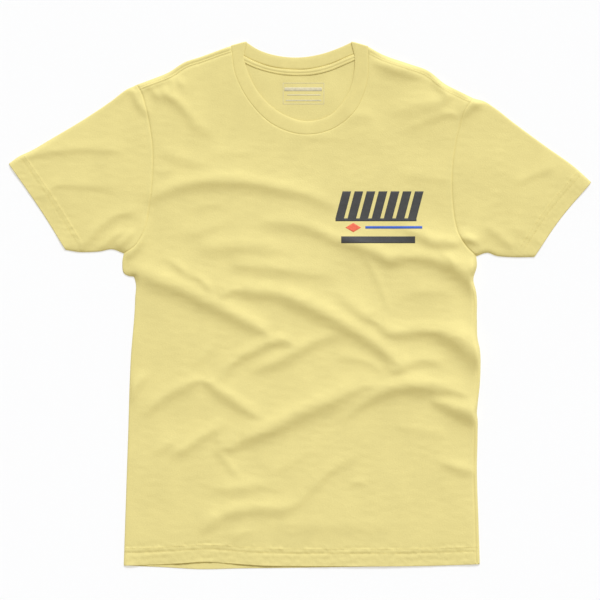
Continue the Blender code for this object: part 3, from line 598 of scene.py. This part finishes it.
class Look:
    """A node material, built from object coordinates in metres."""

    def __init__(self, name, roughness, sheen=0.0, specular=0.35):
        self.material = bpy.data.materials.new(name)
        self.material.use_nodes = True
        self.nodes = self.material.node_tree.nodes
        self.links = self.material.node_tree.links
        self.shader = self.nodes["Principled BSDF"]
        self.shader.inputs["Roughness"].default_value = roughness
        self.shader.inputs["Specular IOR Level"].default_value = specular
        self.shader.inputs["Sheen Weight"].default_value = sheen
        self.shader.inputs["Sheen Roughness"].default_value = 0.55
        self.place = self.nodes.new("ShaderNodeTexCoord").outputs["Object"]

    def noise(self, scale, detail=2.0, rough=0.5):
        node = self.nodes.new("ShaderNodeTexNoise")
        node.inputs["Scale"].default_value = scale
        node.inputs["Detail"].default_value = detail
        node.inputs["Roughness"].default_value = rough
        self.links.new(self.place, node.inputs["Vector"])
        return node.outputs["Fac"]

    def bands(self, direction, pitch, wobble=0.0):
        """Bands across an axis, one per pitch in metres."""
        node = self.nodes.new("ShaderNodeTexWave")
        node.bands_direction = direction
        node.inputs["Scale"].default_value = math.pi / 10 / pitch
        node.inputs["Distortion"].default_value = wobble
        node.inputs["Detail Scale"].default_value = 2.0
        self.links.new(self.place, node.inputs["Vector"])
        return node.outputs["Fac"]

    def knit(self):
        """The columns and rows of stitches of the jersey, as a height."""
        columns, rows = self.bands("X", WALE, 1.2), self.bands("Y", COURSE, 1.0)
        node = self.nodes.new("ShaderNodeMath")
        node.operation = "ADD"
        self.links.new(columns, node.inputs[0])
        self.links.new(rows, node.inputs[1])
        return node.outputs["Value"]

    def ramp(self, factor, start, end):
        """Colours along a factor, between two pairs of a place and a colour."""
        node = self.nodes.new("ShaderNodeValToRGB")
        for element, (place, colour) in zip(node.color_ramp.elements, (start, end)):
            element.position = place
            element.color = (*colour, 1.0)
        self.links.new(factor, node.inputs["Fac"])
        return node.outputs["Color"]

    def patches(self, noise, colour, darkest, lightest):
        """A colour that a noise makes a little uneven."""
        return self.ramp(noise, (0.3, tinted(colour, darkest)), (0.7, tinted(colour, lightest)))

    def yarn(self, noise, darkest):
        """The unevenness of the yarn, as a grey to multiply by."""
        return self.ramp(noise, (0.25, (darkest,) * 3), (0.75, (1.0,) * 3))

    def multiplied(self, a, b):
        node = self.nodes.new("ShaderNodeMix")
        node.data_type = "RGBA"
        node.blend_type = "MULTIPLY"
        node.inputs["Factor"].default_value = 1.0
        self.links.new(a, node.inputs["A"])
        self.links.new(b, node.inputs["B"])
        return node.outputs["Result"]

    def colour(self, output):
        self.links.new(output, self.shader.inputs["Base Color"])

    def bump(self, height, depth, below=None):
        """Bump by a height texture of this depth in metres, over an earlier bump."""
        node = self.nodes.new("ShaderNodeBump")
        node.inputs["Distance"].default_value = depth
        node.inputs["Strength"].default_value = 1.0
        self.links.new(height, node.inputs["Height"])
        if below is not None:
            self.links.new(below, node.inputs["Normal"])
        return node.outputs["Normal"]

    def normal(self, output):
        self.links.new(output, self.shader.inputs["Normal"])


def tinted(colour, factor):
    return tuple(min(1.0, channel * factor) for channel in colour)


YELLOW = (0.817, 0.706, 0.286)
RIB_YELLOW = (0.8, 0.688, 0.277)
THREAD_YELLOW = (0.78, 0.668, 0.264)
CHARCOAL = (0.058, 0.058, 0.056)
BLUE = (0.045, 0.125, 0.52)
CORAL = (0.83, 0.155, 0.075)
LABEL_GREY = (0.66, 0.6, 0.4)
FLOOR_WHITE = (0.52, 0.52, 0.52)
FLOOR_GLOW = 0.446
WALE = 0.00085  # spacing of the jersey's columns of stitches
COURSE = 0.0006  # and of its rows


def jersey_look(name, colour):
    """Combed cotton jersey: columns of fine stitches, uneven yarn and a soft fuzz."""
    look = Look(name, 0.95, sheen=0.03, specular=0.1)
    patches = look.patches(look.noise(38, 3), colour, 0.975, 1.02)
    look.colour(look.multiplied(patches, look.yarn(look.noise(620, 3, 0.6), 0.93)))
    fuzz = look.bump(look.noise(520, 3, 0.65), 0.00022)
    look.normal(look.bump(look.knit(), 0.00003, fuzz))
    return look.material


def rib_look(name, colour):
    look = Look(name, 0.95, sheen=0.03, specular=0.1)
    patches = look.patches(look.noise(60, 3), colour, 0.97, 1.02)
    look.colour(look.multiplied(patches, look.yarn(look.noise(700, 2, 0.6), 0.94)))
    look.normal(look.bump(look.noise(800, 3, 0.6), 0.00015))
    return look.material


def tape_look(name, colour):
    """A woven cotton tape with a fine diagonal."""
    look = Look(name, 0.9, sheen=0.03, specular=0.15)
    look.colour(look.patches(look.noise(90, 2), colour, 0.975, 1.02))
    twill = look.bands("DIAGONAL", 0.0009, 0.4)
    look.normal(look.bump(twill, 0.00006, look.bump(look.noise(900, 2), 0.0001)))
    return look.material


def thread_look(name, colour):
    """Spun sewing thread with a slight gloss and a twist."""
    look = Look(name, 0.55, sheen=0.05, specular=0.45)
    look.colour(look.patches(look.noise(1500, 2), colour, 0.92, 1.04))
    look.normal(look.bump(look.bands("DIAGONAL", 0.0004), 0.00004))
    return look.material


def ink_look(name, colour):
    """A thin screen print: the knit shows through as specks and a fine relief."""
    look = Look(name, 0.62, specular=0.4)
    look.colour(look.patches(look.noise(260, 3, 0.6), colour, 0.88, 1.12))
    look.normal(look.bump(look.knit(), 0.00002, look.bump(look.noise(520, 3), 0.00012)))
    return look.material


def floor_look():
    """White acrylic over a light table, whose glow thins the shadows."""
    look = Look("studio_floor", 0.95, specular=0.1)
    look.colour(look.patches(look.noise(3, 2), FLOOR_WHITE, 0.997, 1.0))
    look.shader.inputs["Emission Color"].default_value = (1.0, 1.0, 1.0, 1.0)
    look.shader.inputs["Emission Strength"].default_value = FLOOR_GLOW
    return look.material


jersey = jersey_look("jersey", YELLOW)
rib = rib_look("rib_knit", RIB_YELLOW)
tape = tape_look("neck_tape", YELLOW)
thread = thread_look("sewing_thread", THREAD_YELLOW)
charcoal, blue = ink_look("charcoal_ink", CHARCOAL), ink_look("blue_ink", BLUE)
coral, label_ink = ink_look("coral_ink", CORAL), ink_look("label_ink", LABEL_GREY)


# --- Cloth -----------------------------------------------------------------------------------

FINE, COARSE = 2.5, 6.0  # spacing of the points on the front of a layer and on its back
UNDER_FINE, UNDER_COARSE = 4.0, 12.0  # the same for the layer that lies on the floor
LAYER_INSET = 1.4  # how far the edges of the lower layer lie inside the rolled edges
CUFF_SHOWS = -0.4  # the lower layer shows this far out of a cuff
BESIDE = (0.45, 0.95, 1.6, 2.5)  # rows of points beside a seam
ACROSS = (-1.6, -0.9, -0.4, 0, 0.4, 0.9, 1.6)  # rows of points across a groove
HEM_OFFSETS = [0.5, 1.2, *(row + a for row in HEM_ROWS for a in ACROSS), HEM_DEPTH + 1.6]
ACROSS_SHOULDER = (-2.3, -1.5, -0.8, 0, 0.8, 1.5, 2.3)  # the same across the two shoulder rows
SHOULDER_OFFSETS = [0.5, 1.2, 2.2, *(sum(SHOULDER_ROWS) / 2 + a for a in ACROSS_SHOULDER)]
EDGE_OFFSETS = (0.5, 1.2, 2.2)


def under_front(points):
    """Underside of the upper layer, which comes down to the floor at a closed edge."""
    hem = np.min([distance(points, edge)[0] for edge, _ in HEMS], axis=0)
    low = lift(points) - CLOTH - hem_band(hem)
    return FLOOR_GAP + (low - FLOOR_GAP) * eased(nearest_closed(points), 0, RIM)


def back_top(points):
    """Top of the back panel, with the small waves that show through the neck."""
    waves = BACK_RISE + ripple(points, *BACK_WAVES)
    calm = eased(nearest_closed(points), 6, 30) * eased(distance(points, back_hem)[0], 40, 80)
    return BACK_TOP + waves * calm


def lower_top(points):
    return np.full(len(points), BACK_TOP)


def on_floor(points):
    return np.full(len(points), FLOOR_GAP)


def beside(*groups):
    """Rows of points beside several lines, each given with its offsets."""
    return np.vstack([shifted(line, offset) for line, offsets in groups for offset in offsets])


def flipped(offsets):
    return [-offset for offset in offsets]


def body_ring(hem, neck, by):
    """The outline of a body panel, counter-clockwise, with its closed edges moved inwards."""
    down = join(shifted(right_shoulder, by), right_armhole, shifted(right_side, by))
    up = join(shifted(left_side, -by)[::-1], left_armhole[::-1], shifted(left_shoulder, -by)[::-1])
    return np.vstack([down, hem[1:-1], up, neck[::-1][1:-1]])


def make_front():
    rows = beside(
        (front_neck, flipped(BESIDE)),
        (right_armhole, BESIDE),
        (left_armhole, flipped(BESIDE)),
        (right_shoulder, SHOULDER_OFFSETS),
        (left_shoulder, flipped(SHOULDER_OFFSETS)),
        (right_side, EDGE_OFFSETS),
        (left_side, flipped(EDGE_OFFSETS)),
        (side_seam, ACROSS),
        (front_hem, HEM_OFFSETS),
    )
    body = cloth_body(body_ring(front_hem, front_neck, 0), rows, lift, under_front, FINE, COARSE)
    return add_mesh("front_cloth", *body, jersey, "jersey", ["front_panel"])


def make_back():
    ring = body_ring(back_hem, back_neck, LAYER_INSET)
    rows = beside((back_neck, flipped(BESIDE)), (back_hem, (0.6, 1.4)))
    body = cloth_body(ring, rows, back_top, on_floor, UNDER_FINE, UNDER_COARSE)
    return add_mesh("back_cloth", *body, jersey, "jersey", ["back_panel"])


def make_sleeve(side, way, top_edge, cuff, under_edge, armhole):
    """A flattened tube: an upper layer with the folds over a lower layer. way is 1 if its outline
    turns left."""
    def turned(offsets):
        return [way * offset for offset in offsets]

    ring = np.vstack([top_edge[:-1], cuff[:-1], under_edge[:-1], armhole[::-1][:-1]])
    rows = beside(
        (top_edge, turned(EDGE_OFFSETS)),
        (under_edge, turned(EDGE_OFFSETS)),
        (armhole[::-1], turned(BESIDE)),
        (cuff, turned(HEM_OFFSETS)),
    )
    upper = cloth_body(ring, rows, lift, under_front, FINE, COARSE)
    over, under = (shifted(edge, way * LAYER_INSET)[:-1] for edge in (top_edge, under_edge))
    lower_cuff = shifted(cuff, way * CUFF_SHOWS)[1:-1]
    ring = np.vstack([over, lower_cuff, under, armhole[::-1][1:-1]])
    lower = cloth_body(ring, NO_ROWS, lower_top, on_floor, UNDER_FINE, UNDER_COARSE)
    body = joined([upper, lower])
    return add_mesh(f"{side}_sleeve_cloth", *body, jersey, "jersey", [f"{side}_sleeve"])


# --- The rib round the neck, and its tape -----------------------------------------------------

RIB = 1.7  # thickness of the doubled rib
RIB_PROUD = 0.35  # how far it stands over the front at their seam
WALE_PITCH, WALE_HEIGHT = 1.4, 0.07  # of the rib's columns of stitches
STATION = 0.35  # spacing of the sections along the band
LOW_MIDDLE = 1.0  # height of the middle of the band at the back of the neck
HIGH_MIDDLE = 2.95  # and where the front lies over the back, at the shoulders
FREE_MIDDLE = 2.7  # and at the front's free edge
FREE_EDGE = [(5.5, 0.83), (3.5, 0.72), (1.8, 0.52), (0.7, 0.32), (0.1, 0.12)]  # how it rounds off
TURNS = (30, 60, 90, 120, 150)  # sections of the fold at the shoulder, in degrees


def band_section(width):
    """Offsets from the seam and from the middle of the band, round its two layers: out along
    the top, back along the underside, then round the slit between them."""
    rise = [(0, 0.25), (0.5, 0.6), (1.2, 0.8), (3.0, 0.86), (0.4 * width, 0.86), (0.6 * width, 0.86)]
    rise += [(width - inwards, high) for inwards, high in FREE_EDGE]
    slit = [(0, 0.06), (0.5 * width, 0.06), (width - 2.8, 0.06)]
    outer = [*rise, (width, 0), *((a, -b) for a, b in reversed(rise))]
    inner = [*((a, -b) for a, b in slit), (width - 2.4, 0), *reversed(slit)]
    return np.array(outer + inner), len(outer)


def band_edges(seam_knots, edge_knots):
    """Matching points along the seam and along the free edge of the band."""
    seam, edge = smooth(seam_knots, 1.0), smooth(edge_knots, 1.0)
    share = np.linspace(0, 1, round(arc(seam)[-1] / STATION))
    return at_lengths(seam, share * arc(seam)[-1]), at_lengths(edge, share * arc(edge)[-1])


def make_collar():
    """The rib, swept along the front, over the fold at the left shoulder, along the back and
    over the fold at the right shoulder."""
    seam, edge = band_edges(FRONT_NECK, FRONT_COLLAR_EDGE)
    share = np.linspace(0, 1, len(seam))
    ends = np.minimum(share, 1 - share) * arc(seam)[-1]
    edge_z = HIGH_MIDDLE - eased(ends, 15, 60) * (HIGH_MIDDLE - FREE_MIDDLE)
    seam_z = np.maximum(lift(seam) + RIB_PROUD - RIB / 2, LOW_MIDDLE + RIB)
    seam_z = HIGH_MIDDLE + (seam_z - HIGH_MIDDLE) * eased(ends, 2, 30)
    stations = [(*row, 0) for row in zip(seam, edge, seam_z, edge_z)]
    stations += [(seam[-1], edge[-1], None, None, turn) for turn in TURNS]
    back = [line[::-1] for line in band_edges(BACK_NECK, BACK_COLLAR_EDGE)]
    stations += [(*row, LOW_MIDDLE, LOW_MIDDLE, 180) for row in zip(*back)]
    stations += [(seam[0], edge[0], None, None, turn) for turn in reversed(TURNS)]
    radius, middle = (HIGH_MIDDLE - LOW_MIDDLE) / 2, (HIGH_MIDDLE + LOW_MIDDLE) / 2
    points, along = [], 0.0
    for seam, edge, seam_z, edge_z, turn in stations:
        width = np.linalg.norm(edge - seam)
        section, outer = band_section(width)
        across, up = section.T
        way = (edge - seam) / width
        flat = seam + section[:, :1] * way
        cosine, sine = math.cos(math.radians(turn)), math.sin(math.radians(turn))
        if seam_z is None:
            outward = np.array([-way[1], way[0]])
            outward = outward if outward[1] > 0 else -outward
            flat = flat + outward * ((radius + up) * sine)[:, None]
            height = middle + (radius + up) * cosine
        else:
            wale = WALE_HEIGHT * math.cos(2 * math.pi * along / WALE_PITCH)
            on_band = eased(across, 0.8, 2.5) * (1 - eased(across, width - 2, width - 0.7))
            relief = np.sign(up) * wale * on_band
            relief[outer:] = 0
            height = seam_z + (edge_z - seam_z) * across / width + (up + relief) * cosine
            along += STATION
        points.append(np.column_stack([flat, height]))
    count, size = len(stations), len(section)
    faces = [face for i in range(count) for face in wall(i * size, (i + 1) % count * size, size)]
    return add_mesh("collar_band", np.vstack(points), faces, rib, "rib_knit", ["collar_rib"])


TAPE_CLEAR = 22.0  # from the ends of the tape to the shoulder seams
TAPE_SECTION = [  # distance from the seam and height, with the top first
    (0.3, 1.2), (0.4, 1.75), (1.2, 2.15), (2.4, 2.4), (3.6, 2.35), (4.6, 2.05), (5.3, 1.72), (5.9, 1.78),
    (6.8, 1.86), (7.6, 1.76), (8.5, 1.62), (8.9, 1.35), (8.7, 1.1), (5.0, 1.05),
]


def make_tape():
    """The tape over the back neck seam: a ridge over the seam's edge and a flat flange."""
    line = spaced(smooth(BACK_NECK), 1.2)
    reach = arc(line)
    line = line[(reach > TAPE_CLEAR) & (reach < reach[-1] - TAPE_CLEAR)]
    section = np.array(TAPE_SECTION)
    ground = back_top(line) - BACK_TOP
    rows = [np.column_stack([shifted(line, -offset), height + ground]) for offset, height in section]
    points = np.stack(rows, axis=1).reshape(-1, 3)
    size, last = len(section), len(line) - 1
    faces = [tuple(range(size)), tuple(last * size + k for k in reversed(range(size)))]
    for i in range(last):
        faces += wall((i + 1) * size, i * size, size)
    return add_mesh("neck_tape_cloth", points, faces, tape, "neck_tape", ["back_neck_tape"])


# --- Stitches ---------------------------------------------------------------------------------

STITCH_RINGS = (-0.85, -0.45, 0.0, 0.45, 0.85)  # along a stitch, as shares of its half length
STITCH_SIDES = 6
STITCH_ENDS = 0.8  # where the cloth under its two ends is measured
THINNING, RISE, DIVE = 0.75, 0.75, 1.1  # how it thins, how high it lies and how its ends dive


def stitches(name, node, line, ground, stitch):
    """A row of stitches along a line. ground gives the height of what it is sewn to, and stitch
    has the length, pitch and thickness of one and its turn from the line in degrees."""
    long, pitch, thick, turn = stitch
    total = arc(line)[-1]
    wanted = np.arange(pitch / 2, total, pitch)
    middle = at_lengths(line, wanted)
    ahead, behind = np.minimum(wanted + 0.5, total), np.maximum(wanted - 0.5, 0)
    way = at_lengths(line, ahead) - at_lengths(line, behind)
    way /= np.linalg.norm(way, axis=1)[:, None]
    cosine, sine = math.cos(math.radians(turn)), math.sin(math.radians(turn))
    x, y = way.T
    way = np.stack([cosine * x - sine * y, sine * x + cosine * y], axis=1)
    grounds = [ground(middle + way * (long / 2 * part)) for part in (-STITCH_ENDS, 0, STITCH_ENDS)]
    points, faces = [], []
    radius = thick / 2
    angles = np.arange(STITCH_SIDES) / STITCH_SIDES * 2 * math.pi
    for (x, y), (wx, wy), low, mid, high in zip(middle, way, *grounds):
        start = len(points)
        for part in STITCH_RINGS:
            wide = radius * math.sqrt(1 - THINNING * part * part)
            below = mid + (high - mid if part > 0 else mid - low) * part / STITCH_ENDS
            base = below + radius * (RISE - DIVE * part * part)
            for angle in angles:
                side, up = wide * math.cos(angle), wide * math.sin(angle)
                along = part * long / 2
                points.append((x + wx * along - wy * side, y + wy * along + wx * side, base + up))
        last = start + (len(STITCH_RINGS) - 1) * STITCH_SIDES
        for ring in range(start, last, STITCH_SIDES):
            faces += wall(ring, ring + STITCH_SIDES, STITCH_SIDES)
        faces.append(tuple(start + k for k in reversed(range(STITCH_SIDES))))
        faces.append(tuple(last + k for k in range(STITCH_SIDES)))
    return add_mesh(name, points, faces, thread, "thread", [node])


NEEDLE = (2.4, 3.0, 0.48, 0)  # length, pitch, thickness and turn of a stitch that shows
LOOP = (4.6, 2.2, 0.4, 68)  # and of the slanted loops of an overlocked edge
NEEDLE_CLEAR = 3.0  # from the ends of a needle row to the ends of its edge
OVERLOCK_INSET, OVERLOCK_CLEAR = 5.0, 16.0  # from the seam, and from the seam's ends
SEAM_ALLOWANCE = 0.45  # how far below the front's underside the inner seams lie
TAPE_ROWS = (("upper", 0.9), ("lower", 7.4))


def cut(line, by):
    """The line without this length at each of its ends."""
    total = arc(line)[-1]
    return at_lengths(line, np.linspace(by, total - by, max(2, round((total - 2 * by) / STEP))))


def below_front(points):
    return lift(points) - CLOTH - SEAM_ALLOWANCE


def tape_height(offset):
    """A function of points, which gives the height of the tape at this distance from its seam."""
    across, up = np.array(TAPE_SECTION[:12]).T
    return lambda points: np.interp(offset, across, up) + back_top(points) - BACK_TOP


def make_stitching():
    made = {}
    hem_rows = tuple(zip(("lower", "upper"), HEM_ROWS))
    shoulder_rows = tuple(zip(("upper", "lower"), SHOULDER_ROWS))
    for place, edge, way, rows in (
        ("bottom_hem", front_hem, 1, hem_rows),
        ("right_sleeve_hem", right_cuff, 1, hem_rows),
        ("left_sleeve_hem", left_cuff, -1, hem_rows),
        ("right_shoulder", right_shoulder, 1, shoulder_rows),
        ("left_shoulder", left_shoulder, -1, shoulder_rows),
    ):
        for row, offset in rows:
            name, node = f"{place}_needle_row_{row}", f"{place}_stitching_{row}"
            line = cut(shifted(edge, way * offset), NEEDLE_CLEAR)
            made[node] = stitches(name, node, line, lift, NEEDLE)
    neck = cut(back_neck, TAPE_CLEAR + 1)
    for row, offset in TAPE_ROWS:
        name, node = f"neck_tape_needle_row_{row}", f"neck_tape_stitching_{row}"
        made[node] = stitches(name, node, shifted(neck, -offset), tape_height(offset), NEEDLE)
    inner = {
        "right_side_seam_thread": (shifted(right_side, OVERLOCK_INSET), lower_top),
        "left_side_seam_thread": (shifted(left_side, -OVERLOCK_INSET), lower_top),
        "right_sleeve_seam_thread": (shifted(right_under, OVERLOCK_INSET), lower_top),
        "left_sleeve_seam_thread": (shifted(left_under, -OVERLOCK_INSET), lower_top),
        "right_armhole_seam_thread": (shifted(right_armhole, -OVERLOCK_INSET), below_front),
        "left_armhole_seam_thread": (shifted(left_armhole, OVERLOCK_INSET), below_front),
        "collar_seam_thread": (shifted(front_neck, -OVERLOCK_INSET), below_front),
        "back_hem_cover_thread": (shifted(back_hem, sum(HEM_ROWS) / 2), lower_top),
    }
    for node, (line, ground) in inner.items():
        name = node.replace("_thread", "_overlock").replace("cover_overlock", "cover_loops")
        made[node] = stitches(name, node, cut(line, OVERLOCK_CLEAR), ground, LOOP)
    return made


# --- Prints -----------------------------------------------------------------------------------

INK_TOP, INK_UNDER = 0.18, 0.02  # heights of a print's two faces over the cloth
INK_SPACING = 2.0
EMBLEM_LEFT, EMBLEM_BOTTOM, EMBLEM_TOP = 50.0, 118.0, 160.0
EMBLEM_BARS, BAR_WIDTH, BAR_GAP, BAR_LEAN, BASE_HEIGHT = 7, 12.0, 5.0, 10.0, 4.0
LINE_BOX = (92.0, 107.5, 172.0, 111.0)
LOZENGE_CENTRE, LOZENGE_HALF = (75.0, 109.0), (11.0, 6.5)
PLAIN_BAR_BOX = (58.0, 87.0, 162.0, 96.5)
LABEL_BOX = (-24.0, 283.0, 34.0, 313.0)
LABEL_LINE = 0.5
LABEL_BARS = [(-22.0, 301.5, 31.0, 306.5), (-18.0, 295.4, 29.0, 296.6), (-20.0, 287.5, 30.0, 289.0)]


def outline(corners, spacing=2.0):
    """A closed ring with points along its straight sides."""
    corners = [np.array(corner, float) for corner in corners]
    ring = []
    for a, b in pairwise([*corners, corners[0]]):
        count = max(1, round(np.linalg.norm(b - a) / spacing))
        ring += [a + (b - a) * i / count for i in range(count)]
    return np.array(ring)


def box_corners(left, low, right, high):
    return [(left, low), (right, low), (right, high), (left, high)]


def emblem_corners():
    """Leaning bars that stand on one base line, as a single outline."""
    pitch = BAR_WIDTH + BAR_GAP
    width = EMBLEM_BARS * pitch - BAR_GAP
    foot, top = EMBLEM_BOTTOM + BASE_HEIGHT, EMBLEM_TOP
    corners = [(EMBLEM_LEFT, EMBLEM_BOTTOM), (EMBLEM_LEFT + width, EMBLEM_BOTTOM)]
    for bar in reversed(range(EMBLEM_BARS)):
        left = EMBLEM_LEFT + bar * pitch
        right = left + BAR_WIDTH
        corners += [(right, foot), (right + BAR_LEAN, top), (left + BAR_LEAN, top), (left, foot)]
    return corners


def film(name, rings, ground, look, slot, node):
    """A print: a thin film on the cloth, from one or more closed outlines."""
    def top(points):
        return ground(points) + INK_TOP

    def under(points):
        return ground(points) + INK_UNDER

    bodies = [cloth_body(ring, NO_ROWS, top, under, INK_SPACING, INK_SPACING) for ring in rings]
    return add_mesh(name, *joined(bodies), look, slot, [node])


def make_prints():
    x, y = LOZENGE_CENTRE
    wide, high = LOZENGE_HALF
    lozenge = outline([(x - wide, y), (x, y - high), (x + wide, y), (x, y + high)])
    chest = [
        film("print_bars", [outline(emblem_corners())], lift, charcoal, "charcoal_ink", "chest_print_bars"),
        film("print_line", [outline(box_corners(*LINE_BOX))], lift, blue, "blue_ink", "chest_print_line"),
        film("print_lozenge", [lozenge], lift, coral, "coral_ink", "chest_print_lozenge"),
        film("print_plain_bar", [outline(box_corners(*PLAIN_BAR_BOX))], lift, charcoal, "charcoal_ink",
             "chest_print_plain_bar"),
    ]
    left, low, right, top = LABEL_BOX
    thin = LABEL_LINE
    frame_boxes = [
        (left, low, right, low + thin), (left, top - thin, right, top),
        (left, low + thin, left + thin, top - thin), (right - thin, low + thin, right, top - thin),
    ]
    rings = [outline(box_corners(*box)) for box in frame_boxes + LABEL_BARS]
    label = film("label_print", rings, back_top, label_ink, "label_ink", "neck_label_print")
    return chest, label


# --- The whole shirt --------------------------------------------------------------------------

front = make_front()
back = make_back()
right_sleeve = make_sleeve("right", 1, right_top, right_cuff, right_under, right_armhole)
left_sleeve = make_sleeve("left", -1, left_top, left_cuff, left_under, left_armhole)
collar = make_collar()
neck_tape = make_tape()
stitching = make_stitching()
chest_print, label_print = make_prints()


def declare_cloth():
    """Gathers the stitches and prints that lie on the front and on each sleeve; nothing more is done with
    them.
    """
    def sewn(*starts):
        return [piece for node, piece in stitching.items() if node.startswith(starts)]

    on_front = [*sewn("bottom_hem", "right_shoulder", "left_shoulder", "collar_seam"), *chest_print]
    on_right, on_left = sewn("right_sleeve", "right_armhole"), sewn("left_sleeve", "left_armhole")
    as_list(on_right)
    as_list(on_left)


# Radius and height of the floor's rings, in metres.
SWEEP = [(7.0, 0.0), (8.0, 0.0), (8.6, 0.1), (9.1, 0.4), (9.4, 0.9), (9.5, 1.5), (9.5, 2.3)]
SWEEP_SIDES = 60
SUN_COLOUR, SUN_ENERGY, SUN_SOFTNESS = (1.0, 1.06, 1.22), 3.0, 22.0
SUN_AZIMUTH, SUN_ELEVATION = 76.0, 38.0
WORLD_COLOUR, WORLD_STRENGTH = (1.0, 0.915, 0.69, 1.0), 0.416
SENSOR = 36.0
FIELD = 0.846  # width of what the picture takes in, in metres
CAMERA_HEIGHT, CAMERA_Y = 3.2, 0.007


def floor_shape():
    """A round floor whose edge sweeps up, so that no horizon shows."""
    angles = np.arange(SWEEP_SIDES) / SWEEP_SIDES * 2 * math.pi
    circle = [(math.cos(angle), math.sin(angle)) for angle in angles]
    points = [(radius * x, radius * y, height) for radius, height in SWEEP for x, y in circle]
    faces = [tuple(range(SWEEP_SIDES))]
    for ring in range(len(SWEEP) - 1):
        faces += wall((ring + 1) * SWEEP_SIDES, ring * SWEEP_SIDES, SWEEP_SIDES)
    return points, faces


def studio():
    """A white floor, one soft light from beyond the neck and warmer light from all round."""
    points, faces = floor_shape()
    floor_mesh = bpy.data.meshes.new("studio_floor")
    floor_mesh.from_pydata(points, [], faces)
    floor_mesh.shade_smooth()
    floor_mesh.materials.append(floor_look())
    floor = bpy.data.objects.new("studio_floor", floor_mesh)
    bpy.context.scene.collection.objects.link(floor)

    sun = bpy.data.lights.new("softbox", "SUN")
    sun.energy = SUN_ENERGY
    sun.color = SUN_COLOUR
    sun.angle = math.radians(SUN_SOFTNESS)
    lamp = bpy.data.objects.new("softbox", sun)
    azimuth, elevation = math.radians(SUN_AZIMUTH), math.radians(SUN_ELEVATION)
    level = math.cos(elevation)
    away = Vector((level * math.cos(azimuth), level * math.sin(azimuth), math.sin(elevation)))
    lamp.rotation_euler = away.to_track_quat("Z", "Y").to_euler()
    bpy.context.scene.collection.objects.link(lamp)

    world = bpy.data.worlds.new("studio")
    world.use_nodes = True
    background = world.node_tree.nodes["Background"]
    background.inputs["Color"].default_value = WORLD_COLOUR
    background.inputs["Strength"].default_value = WORLD_STRENGTH
    bpy.context.scene.world = world
    bpy.context.scene.view_settings.view_transform = "Standard"


def camera():
    """A long lens straight above the shirt."""
    data = bpy.data.cameras.new("camera")
    data.sensor_width = SENSOR
    data.lens = SENSOR * CAMERA_HEIGHT / FIELD
    data.dof.use_dof = False
    seen_from = bpy.data.objects.new("camera", data)
    seen_from.location = (0, CAMERA_Y, CAMERA_HEIGHT)
    bpy.context.scene.collection.objects.link(seen_from)
    bpy.context.scene.camera = seen_from


declare_cloth()
studio()
camera()
